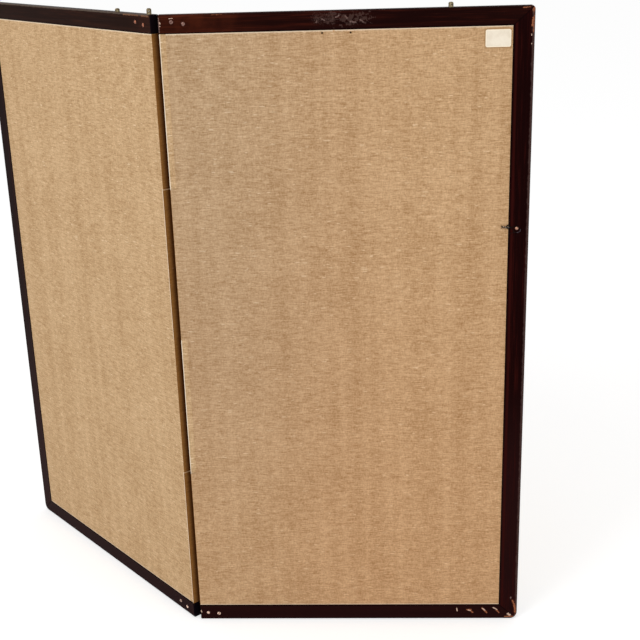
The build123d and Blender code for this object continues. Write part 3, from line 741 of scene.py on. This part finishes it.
MITRES = marked(
    LACQUER_BLACK, 0.9,
    ((458, 884.5), (484, 907.3), 0.6, 0.2),
    ((458, 25.5), (482, 3.6), 0.6, 0.2),
)
SECOND_TOP_MARKS = (
    marked(PALE_SCUFF, 0.55,
           ((205, 894.6), (206, 896.4), 0.9, 1.4),
           ((213, 898.4), (216, 897.0), 0.8, 1.4),
           ((231, 900.4), (235, 902.6), 0.9, 1.4),
           ((243, 901.8), (245, 899), 0.9, 1.4),
           ((249, 894.4), (256, 893.2), 0.9, 1.4),
           ((262, 896.5), (266, 893.5), 0.9, 1.4))
    + marked(WORN_ARRIS, 0.4,
             ((206, 899.4), (222, 898.6), 3.0, 3.8),
             ((226, 899.4), (268, 897.6), 3.8, 3.8))
    + marked(PALE_DOT, 0.8,
             ((2.2, 899), (2.8, 897.6), 0.9, 0.6),
             ((2.2, 894.8), (2.6, 894.4), 0.7, 0.5),
             ((15.0, 903.9), (19.4, 904.2), 0.45, 1.2))
    # The pale line down the rail's hinge end is a painted highlight on its arris
    + marked(PALE_SCUFF, 0.6, ((1.2, 887), (1.2, 905), 0.6, 1.0))
    + marked(BARE_WOOD, 0.8,
             ((70, 907.6), (84, 908.0), 0.6, 1.0),
             ((470, 906.4), (479, 906.9), 0.7, 1.0))
)
SECOND_BOTTOM_MARKS = (
    marked(BARE_WOOD, 0.9,
           ((410, 16.4), (416, 16.0), 1.3, 0.9),
           ((415, 15.0), (419, 11.6), 1.2, 0.9),
           ((432.8, 19.2), (440.1, 11.2), 1.3, 0.8),
           ((454.6, 15.8), (458.6, 11.0), 1.1, 0.7))
    + marked(PALE_DOT, 0.85,
             ((394.4, 18.8), (395, 14.4), 0.8, 0.9),
             ((412, 15.6), (415, 14.6), 0.9, 0.9),
             ((433.4, 18.6), (437.2, 15.2), 0.9, 0.8),
             ((449.6, 20.0), (455.4, 16.6), 0.9, 0.8),
             ((472.0, 8.8), (475.4, 6.8), 1.7, 0.9),
             ((1.6, 16), (2.0, 12.6), 0.8, 0.9))
    + marked(BARE_WOOD, 0.9,
             ((468, 4.2), (481, 4.6), 1.3, 1.0))
)
SECOND_STILE_MARKS = (
    marked(PALE_DOT, 0.8,
           ((481.6, 873.0), (481.6, 871.5), 0.6, 0.8),
           ((482.0, 861.5), (482.0, 860.6), 0.5, 0.8))
    + marked(PALE_SCUFF, 0.7, ((475.9, 38.0), (475.9, 36.6), 1.0, 0.7))
    + marked(BARE_WOOD, 0.9,
             ((478.6, 32.5), (480.4, 27), 1.4, 0.9),
             ((481.6, 26), (483.4, 12), 1.7, 0.9),
             ((482.0, 884), (483.2, 893), 1.3, 0.9),
             ((484.0, 876), (484.6, 898), 0.8, 1.0))
)
FIRST_TOP_MARKS = (
    marked(WORN_EDGE, 0.65,
           ((4, 906.6), (22, 907.0), 0.9, 1.3),
           ((30, 907.0), (66, 907.0), 0.9, 1.3))
)


def lacquer_materials():
    """One lacquer for each member of the two frames."""
    # Each member's arris colour is partly wear and partly a painted highlight; the top rails' last
    # entries are painted sheen
    second_top = make_lacquer(
        "second top rail lacquer", SECOND, ALONG_RAIL, linear(25, 7, 6), linear(62, 22, 14),
        0.8, 0.1, (1.4, linear(52, 34, 32)), SECOND_TOP_MARKS, (40, 150, linear(84, 36, 20)))
    second_bottom = make_lacquer(
        "second bottom rail lacquer", SECOND, ALONG_RAIL, linear(29, 10, 10), linear(44, 18, 14),
        0.4, 0.0, (1.5, LACQUER_BLACK), SECOND_BOTTOM_MARKS)
    second_stile = make_lacquer(
        "second stile lacquer", SECOND, ALONG_STILE, linear(22, 4, 4), linear(52, 14, 11),
        0.7, 0.7, (4.6, linear(80, 60, 56)), SECOND_STILE_MARKS)
    first_top = make_lacquer(
        "first top rail lacquer", FIRST, ALONG_RAIL, linear(32, 16, 11), linear(66, 38, 28),
        0.5, 0.1, (2.6, linear(98, 84, 74)), FIRST_TOP_MARKS, (10, 60, linear(62, 34, 26)))
    first_bottom = make_lacquer(
        "first bottom rail lacquer", FIRST, ALONG_RAIL, linear(28, 13, 12), linear(44, 24, 20),
        0.4, 0.0, (1.5, LACQUER_BLACK))
    first_stile = make_lacquer(
        "first stile lacquer", FIRST, ALONG_STILE, linear(24, 9, 8), linear(52, 20, 14),
        0.5, 0.3, (3.0, linear(74, 58, 52)))
    return {
        "second_leaf_top_rail": second_top,
        "second_leaf_bottom_rail": second_bottom,
        "second_leaf_free_stile": second_stile,
        "first_leaf_top_rail": first_top,
        "first_leaf_bottom_rail": first_bottom,
        "first_leaf_free_stile": first_stile,
    }


def dress(node_name, material):
    """Gives a carried-over node its finish."""
    slots = nodes[node_name].data.materials
    slots.clear()
    slots.append(material)


LINEN = {
    FIRST: make_linen("first leaf linen", FIRST),
    SECOND: make_linen("second leaf linen", SECOND, holes=((212.6, 881), (249.4, 880.7)),
                       stain=(227.6, 883.4), label=True),
}
ROLLED_LINEN = {
    side: make_rolled_linen(LEAF_NAMES[side] + " rolled linen", side) for side in LEAF_NAMES
}
FOLD_LINEN = {
    side: make_fold_linen(LEAF_NAMES[side] + " fold linen", side) for side in LEAF_NAMES
}
GUSSET_LINEN = make_fold_linen("gusset linen", FIRST, cut_edges=(TOP_BREAK, BOTTOM_BREAK))
BRASS = make_old_metal("aged brass", linear(150, 138, 110), linear(72, 54, 32), 0.42, 0.85, 420.0)
NAIL_METAL = {
    side: make_nail_metal(LEAF_NAMES[side] + " nail", side, top)
    for side, top in ((FIRST, linear(168, 100, 70)), (SECOND, linear(138, 102, 92)))
}
COPPERED = make_old_metal(
    "coppered nail", linear(220, 168, 140), linear(100, 52, 38), 0.4, 0.3, 800.0)
WIRE_METAL = make_wire_metal("picture wire", SECOND)


def dress_leaf(side):
    """The finishes that both leaves have."""
    leaf = LEAF_NAMES[side]
    rail_cedar = make_cedar(leaf + " rail cedar", side, ALONG_RAIL)
    stile_cedar = make_cedar(leaf + " stile cedar", side, ALONG_STILE)
    paper = make_backing_paper(leaf + " backing paper", side)
    for part in ("core_top_rail", "core_bottom_rail", "lattice_crosspieces"):
        dress(f"{leaf}_{part}", rail_cedar)
    for part in ("core_hinge_stile", "core_free_stile", "lattice_uprights"):
        dress(f"{leaf}_{part}", stile_cedar)
    for part in ("front_backing_paper", "rear_backing_paper"):
        dress(f"{leaf}_{part}", paper)
    dress(leaf + "_rear_cloth", LINEN[side])
    dress(leaf + "_edge_lining", FOLD_LINEN[side])
    dress(leaf + "_gold_ground", make_gold_leaf(leaf + " gold leaf", side))
    dress(leaf + "_brocade_border", make_brocade(leaf + " brocade", side))
    dress(leaf + "_hanging_posts", BRASS)
    dress(leaf + "_rail_nails", NAIL_METAL[side])


def dress_hinge():
    """The linen of the hinge strips, each on the leaf it lies against."""
    on_second = ("top_wrap", "lower_wrap", "upper_front_flap", "bottom_front_flap")
    on_first = ("upper_rear_flap", "bottom_rear_flap", "top_front_flap", "lower_front_flap")
    for side, parts in ((SECOND, on_second), (FIRST, on_first)):
        for part in parts:
            dress("hinge_" + part, ROLLED_LINEN[side])
    for part in ("upper_gusset", "bottom_gusset"):
        dress("hinge_" + part, GUSSET_LINEN)


# ---------------------------------------------------------------- new pieces

def leaf_matrix(side):
    """From a leaf laid flat to where it stands."""
    mirrored = Matrix.Scale(side, 4, (1, 0, 0))
    return mirrored @ Matrix.Rotation(-TURN, 4, "Z") @ Matrix.Translation(-LEAF_SHIFT)


def facing_back(u, depth, z):
    """A placing on the flat leaf that turns a piece's +Z towards the back."""
    return Matrix.Translation((u, depth, z)) @ Matrix.Rotation(-math.pi / 2, 4, "X")


def add_piece(mesh, name, side, material, smooth=True):
    """Places a finished mesh on its leaf as a piece of its own."""
    matrix = leaf_matrix(side)
    bmesh.ops.transform(mesh, matrix=matrix, verts=mesh.verts)
    bmesh.ops.recalc_face_normals(mesh, faces=mesh.faces)
    for face in mesh.faces:
        face.smooth = smooth
    data = bpy.data.meshes.new(name)
    mesh.to_mesh(data)
    mesh.free()
    data.materials.append(material)
    piece = bpy.data.objects.new(name, data)
    scene.collection.objects.link(piece)
    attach(piece, LEAF_NAMES[side])
    return piece


def add_spun(mesh, profile, steps, matrix):
    """Adds a closed round shape to a mesh: a profile of (radius, height) spun round Z."""
    turned = bmesh.new()
    verts = [turned.verts.new((radius, 0.0, height)) for radius, height in profile]
    edges = [turned.edges.new(pair) for pair in zip(verts, verts[1:])]
    bmesh.ops.spin(turned, geom=verts + edges, cent=(0, 0, 0), axis=(0, 0, 1),
                   angle=math.tau, steps=steps, use_merge=True)
    bmesh.ops.remove_doubles(turned, verts=turned.verts, dist=0.01 * MM)
    bmesh.ops.transform(turned, matrix=matrix, verts=turned.verts)
    data = bpy.data.meshes.new("turned")
    turned.to_mesh(data)
    turned.free()
    mesh.from_mesh(data)
    bpy.data.meshes.remove(data)


RAIL_NAIL_PROFILE = tuple((radius * MM, height * MM) for radius, height in (
    (0.0, -11.0), (0.5, -10.2), (0.9, -9.2), (0.9, -0.02), (2.45, -0.02), (2.6, 0.12),
    (2.5, 0.34), (2.0, 0.58), (1.2, 0.74), (0.5, 0.78), (0.0, 0.78),
))
RAIL_NAIL_SPOTS = {
    FIRST: ((18, 895.4), (37, 898.4), (18.5, 11.0), (36.5, 13.5)),
    SECOND: ((17.5, 899.6), (32.9, 896.8), (12.5, 12.2), (28.9, 10.8)),
}
RAIL_NAIL_LEAN = 0.06


def make_rail_nails(side):
    """The nails near the hinge, each hammered in at a slightly different tilt."""
    tilt = random.Random(side + 7)
    mesh = bmesh.new()
    for u, z in RAIL_NAIL_SPOTS[side]:
        lean = Matrix.Rotation(tilt.uniform(-RAIL_NAIL_LEAN, RAIL_NAIL_LEAN), 4, "X")
        lean @= Matrix.Rotation(tilt.uniform(-RAIL_NAIL_LEAN, RAIL_NAIL_LEAN), 4, "Y")
        place = facing_back(u * MM, LEAF_THICKNESS, z * MM) @ lean
        add_spun(mesh, RAIL_NAIL_PROFILE, 20, place)
    leaf = LEAF_NAMES[side]
    piece = add_piece(mesh, leaf + "_round_head_nails", side, NAIL_METAL[side])
    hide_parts(leaf + "_rail_nails")


def make_label():
    """The bare gummed label on the cloth."""
    mesh = bmesh.new()
    corners = [
        mesh.verts.new((u, REAR_SURFACE + LABEL_LIFT, z))
        for u, z in ((LABEL_LEFT, LABEL_BOTTOM), (LABEL_RIGHT, LABEL_BOTTOM),
                     (LABEL_RIGHT, LABEL_TOP), (LABEL_LEFT, LABEL_TOP))
    ]
    mesh.faces.new(corners)
    bmesh.ops.bevel(mesh, geom=corners, offset=LABEL_CORNER, affect="VERTICES",
                    segments=LABEL_CORNER_STEPS, profile=0.5, material=-1)
    grown = bmesh.ops.extrude_face_region(mesh, geom=list(mesh.faces))
    moved = [item for item in grown["geom"] if isinstance(item, bmesh.types.BMVert)]
    bmesh.ops.translate(mesh, vec=(0.0, LABEL_THICKNESS, 0.0), verts=moved)
    material = make_label_paper("label paper", SECOND)
    add_piece(mesh, "paper_label", SECOND, material, smooth=False)


# Cloth that rolls over a back arris, as (u, depth) in mm: first its outer line
FOLD_OUTER = ((10.5, 13.16), (8.5, 13.21), (6.0, 13.27), (3.8, 13.42), (2.5, 13.66),
              (1.7, 13.88), (1.2, 13.99), (0.85, 13.97), (0.62, 13.82), (0.5, 13.5))
FOLD_INNER = ((0.88, 13.0), (1.4, 13.1), (10.5, 13.1))
FRONT_LIP = ((0.5, 0.45), (0.4, 0.15), (0.04, -0.06))
FRONT_LIP_FACE = ((0.04, -0.13), (0.4, -0.12), (0.75, 0.0), (0.88, 0.2))
WRAP = (FOLD_OUTER + FRONT_LIP, FRONT_LIP_FACE + FOLD_INNER)
REAR_FLAP = (FOLD_OUTER + ((0.5, 12.02),), ((0.88, 12.02),) + FOLD_INNER)
FRONT_FLAP = (((14.0, 1.97), (0.7, 1.97), (0.5, 1.8)) + FRONT_LIP,
              FRONT_LIP_FACE + ((0.88, 1.43), (14.0, 1.43)))
FOLD_STEP = 5 * MM

# The rolled part of a strip, and how far it sinks, sways and drifts along its length
ROLL_DEPTH, ROLL_WIDTH = 13.3 * MM, 6 * MM
ROLL_SINK, ROLL_SWAY, ROLL_DRIFT = 0.10 * MM, 0.16 * MM, 0.22 * MM


def wavering(value, seed):
    """A slow unevenness along a hand-laid edge, either side of zero."""
    return noise.noise(Vector((seed, 0.0, value * 28.0))) + 0.5 * noise.noise(
        Vector((seed, 4.0, value * 95.0)))


def make_fold(node_name, name, side, shape, seed):
    """A hinge strip's cloth where it is glued to a leaf and turns at its arris."""
    low, high = span(node_name)
    outer, inner = shape
    outline = [(u * MM, depth * MM) for u, depth in outer + inner]
    mesh = bmesh.new()
    verts = [mesh.verts.new((u, depth, low)) for u, depth in outline]
    face = mesh.faces.new(verts)
    grown = bmesh.ops.extrude_face_region(mesh, geom=[face])
    moved = [item for item in grown["geom"] if isinstance(item, bmesh.types.BMVert)]
    bmesh.ops.translate(mesh, vec=(0.0, 0.0, high - low), verts=moved)
    open_foot = len(mesh.faces) == len(outline) + 1
    if open_foot:
        mesh.faces.new(list(reversed(verts)))
    uprights = [edge for edge in mesh.edges if edge.calc_length() > (high - low) / 2]
    cuts = int((high - low) / FOLD_STEP)
    bmesh.ops.subdivide_edges(mesh, edges=uprights, cuts=cuts, use_grid_fill=True)
    for vert in mesh.verts:
        sway = wavering(vert.co.z, seed)
        near_arris = vert.co.y > ROLL_DEPTH and vert.co.x < ROLL_WIDTH
        if near_arris:
            vert.co.y -= ROLL_SINK + ROLL_SWAY * abs(sway)
            vert.co.x += ROLL_DRIFT * max(0.0, sway)
    piece = add_piece(mesh, name, side, ROLLED_LINEN[side])
    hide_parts(node_name)


FOLDS = (
    ("hinge_top_wrap", "hinge_top_cloth", SECOND, WRAP, 1.3),
    ("hinge_lower_wrap", "hinge_lower_cloth", SECOND, WRAP, 2.7),
    ("hinge_upper_rear_flap", "hinge_upper_cloth_edge", FIRST, REAR_FLAP, 3.9),
    ("hinge_bottom_rear_flap", "hinge_bottom_cloth_edge", FIRST, REAR_FLAP, 5.2),
    ("hinge_top_front_flap", "hinge_top_cloth_edge", FIRST, FRONT_FLAP, 6.1),
    ("hinge_lower_front_flap", "hinge_lower_cloth_edge", FIRST, FRONT_FLAP, 7.4),
)


# Wire left on the stile's nail: places (u, z) in mm on the second leaf
WIRE_RADIUS = 0.36 * MM
WIRE_NAIL = (469.1, 616.7)
TWIST_START, TWIST_END = (463.0, 617.7), (448.2, 618.6)
TWIST_LEVEL = 15.2
TWIST_TURNS = 3
TWIST_STEPS = 60
TWIST_RADIUS, TWIST_SPLAY = 0.6, 1.1
EYE_MIDDLE, EYE_RADIUS, EYE_TURNS = (457.1, 618.9), 3.0, 2.6
LOOP = ((463.0, 617.6, 14.8), (465.4, 619.2, 14.6), (469.2, 619.6, 14.7), (472.4, 618.2, 15.0),
        (474.4, 615.4, 15.3), (474.0, 612.4, 15.6), (470.7, 610.7, 15.7), (467.2, 611.0, 15.4),
        (464.4, 613.2, 14.9), (462.8, 617.2, 14.7))
LOOSE_END = ((468.6, 610.8, 15.9), (464.6, 610.9, 15.6), (461.4, 609.9, 15.0), (458.9, 608.3, 14.9))


def twist_strand(phase):
    """One of the two wires twisted into the tail."""
    points = []
    for step in range(TWIST_STEPS + 1):
        share = step / TWIST_STEPS
        angle = phase + math.tau * TWIST_TURNS * share
        u = TWIST_START[0] + (TWIST_END[0] - TWIST_START[0]) * share
        z = TWIST_START[1] + (TWIST_END[1] - TWIST_START[1]) * share
        radius = TWIST_RADIUS + TWIST_SPLAY * share ** 2
        points.append((u, z + radius * math.cos(angle),
                       TWIST_LEVEL + 0.8 * radius * math.sin(angle)))
    return points


def wound_eye():
    """The end of one strand wound into a small flat eye over the tail."""
    points = []
    for step in range(TWIST_STEPS + 1):
        share = step / TWIST_STEPS
        angle = math.tau * EYE_TURNS * share
        radius = EYE_RADIUS - 0.9 * share
        points.append((EYE_MIDDLE[0] + 0.6 * radius * math.cos(angle),
                       EYE_MIDDLE[1] + radius * math.sin(angle),
                       TWIST_LEVEL + 1.0 + 0.4 * share))
    return points


def make_wire():
    """The cut end of picture wire: a loop, a twisted tail, an eye and a loose end."""
    curve = bpy.data.curves.new("wire path", "CURVE")
    curve.dimensions = "3D"
    curve.bevel_depth = WIRE_RADIUS
    curve.bevel_resolution = 2
    curve.use_fill_caps = True
    curve.resolution_u = 4
    strands = ((twist_strand(0.0), 1.3), (twist_strand(math.pi), 1.3), (wound_eye(), 1.5),
               (LOOP, 0.9), (LOOSE_END, 0.8))
    for points, share in strands:
        spline = curve.splines.new("NURBS")
        spline.points.add(len(points) - 1)
        for point, (u, z, depth) in zip(spline.points, points):
            point.co = (u * MM, depth * MM, z * MM, 1.0)
            point.radius = share
        spline.order_u = 3
        spline.use_endpoint_u = True
    path = bpy.data.objects.new("wire path", curve)
    mesh = bmesh.new()
    mesh.from_mesh(bpy.data.meshes.new_from_object(path))
    bpy.data.objects.remove(path)
    piece = add_piece(mesh, "picture_wire_end", SECOND, WIRE_METAL)
    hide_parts("wire_stub")


WIRE_NAIL_PROFILE = tuple((radius * MM, height * MM) for radius, height in (
    (0.0, -11.0), (0.5, -10.4), (0.98, -9.2), (0.98, 1.4), (2.0, 1.4), (2.2, 1.65),
    (2.15, 2.0), (1.8, 2.4), (1.1, 2.6), (0.5, 2.66), (0.0, 2.66),
))
WIRE_NAIL_LEAN = 0.06


def make_wire_nail():
    """The round-headed nail that the wire hangs from."""
    mesh = bmesh.new()
    u, z = WIRE_NAIL
    lean = Matrix.Rotation(WIRE_NAIL_LEAN, 4, "X")
    place = facing_back(u * MM, LEAF_THICKNESS, z * MM) @ lean
    add_spun(mesh, WIRE_NAIL_PROFILE, 24, place)
    piece = add_piece(mesh, "coppered_nail", SECOND, COPPERED)
    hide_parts("wire_nail")


# ---------------------------------------------------------------- setting

def seen_directly(shade):
    """One where the eye sees a surface itself, mirrored or through glass; else nought."""
    path = shade.node("ShaderNodeLightPath").outputs
    seen = shade.math("MAXIMUM", path["Is Camera Ray"], path["Is Glossy Ray"])
    return shade.math("MAXIMUM", seen, path["Is Transmission Ray"])


FLOOR_HALF_SIZE = 20.0
FLOOR_GLOW = 0.45


def make_floor():
    """A plain pale floor that takes the screen's shadow."""
    mesh = bmesh.new()
    bmesh.ops.create_grid(mesh, x_segments=1, y_segments=1, size=FLOOR_HALF_SIZE)
    data = bpy.data.meshes.new("floor")
    mesh.to_mesh(data)
    mesh.free()
    floor = bpy.data.objects.new("floor", data)
    scene.collection.objects.link(floor)
    material, shade, surface = new_material("pale floor")
    surface.inputs["Base Color"].default_value = (0.80, 0.80, 0.80, 1.0)
    surface.inputs["Roughness"].default_value = 0.9
    surface.inputs["Specular IOR Level"].default_value = 0.0
    seen = seen_directly(shade)
    surface.inputs["Emission Color"].default_value = (1.0, 1.0, 1.0, 1.0)
    shade.feed(surface.inputs["Emission Strength"], shade.math("MULTIPLY", seen, FLOOR_GLOW))
    data.materials.append(material)


def make_world(level):
    """Even light from all round, and white behind everything."""
    world = bpy.data.worlds.new("studio")
    world.use_nodes = True
    scene.world = world
    shade = Shade(world.node_tree)
    background = world.node_tree.nodes["Background"]
    seen = seen_directly(shade)
    background.inputs["Color"].default_value = (1.0, 1.0, 1.0, 1.0)
    strength = shade.math("MULTIPLY_ADD", seen, 1.0 - level, level)
    shade.feed(background.inputs["Strength"], strength)


def aimed(place, target):
    """A turn that points a lamp's or camera's -Z from one point at another."""
    return (Vector(target) - Vector(place)).to_track_quat("-Z", "Y").to_matrix().to_4x4()


def make_lamp(name, place, target, power, size):
    """A square soft light."""
    data = bpy.data.lights.new(name, "AREA")
    data.energy = power
    data.size = size
    lamp = bpy.data.objects.new(name, data)
    scene.collection.objects.link(lamp)
    lamp.matrix_world = Matrix.Translation(place) @ aimed(place, target)


CAMERA_PLACE = (-0.87519, 1.40209, 1.02662)
CAMERA_HEADING = 206.509
CAMERA_TILT = 70.743
CAMERA_ROLL = -1.736
CAMERA_LENS = 65.417


def make_camera():
    """The view of the backs from a little above the top rails."""
    data = bpy.data.cameras.new("camera")
    data.sensor_width = 36.0
    data.lens = CAMERA_LENS
    camera = bpy.data.objects.new("camera", data)
    scene.collection.objects.link(camera)
    turn = Matrix.Rotation(math.radians(CAMERA_HEADING), 4, "Z")
    turn @= Matrix.Rotation(math.radians(CAMERA_TILT), 4, "X")
    turn @= Matrix.Rotation(math.radians(CAMERA_ROLL), 4, "Z")
    camera.matrix_world = Matrix.Translation(CAMERA_PLACE) @ turn
    scene.camera = camera


# ---------------------------------------------------------------- the whole screen

for leaf_side in (FIRST, SECOND):
    dress_leaf(leaf_side)
dress_hinge()
for member, lacquer in lacquer_materials().items():
    dress(member, lacquer)
dress("wire_nail", COPPERED)
dress("wire_stub", WIRE_METAL)

for leaf_side in (FIRST, SECOND):
    make_rail_nails(leaf_side)
make_label()
for fold in FOLDS:
    make_fold(*fold)
make_wire()
make_wire_nail()

make_floor()
make_world(level=0.66)
make_lamp("key", place=(1.2, 3.3, 2.6), target=(0.0, 0.0, 0.45), power=59.0, size=2.2)
make_lamp("fill", place=(-2.4, 1.6, 1.4), target=(-0.2, 0.0, 0.45), power=9.5, size=1.5)
make_camera()
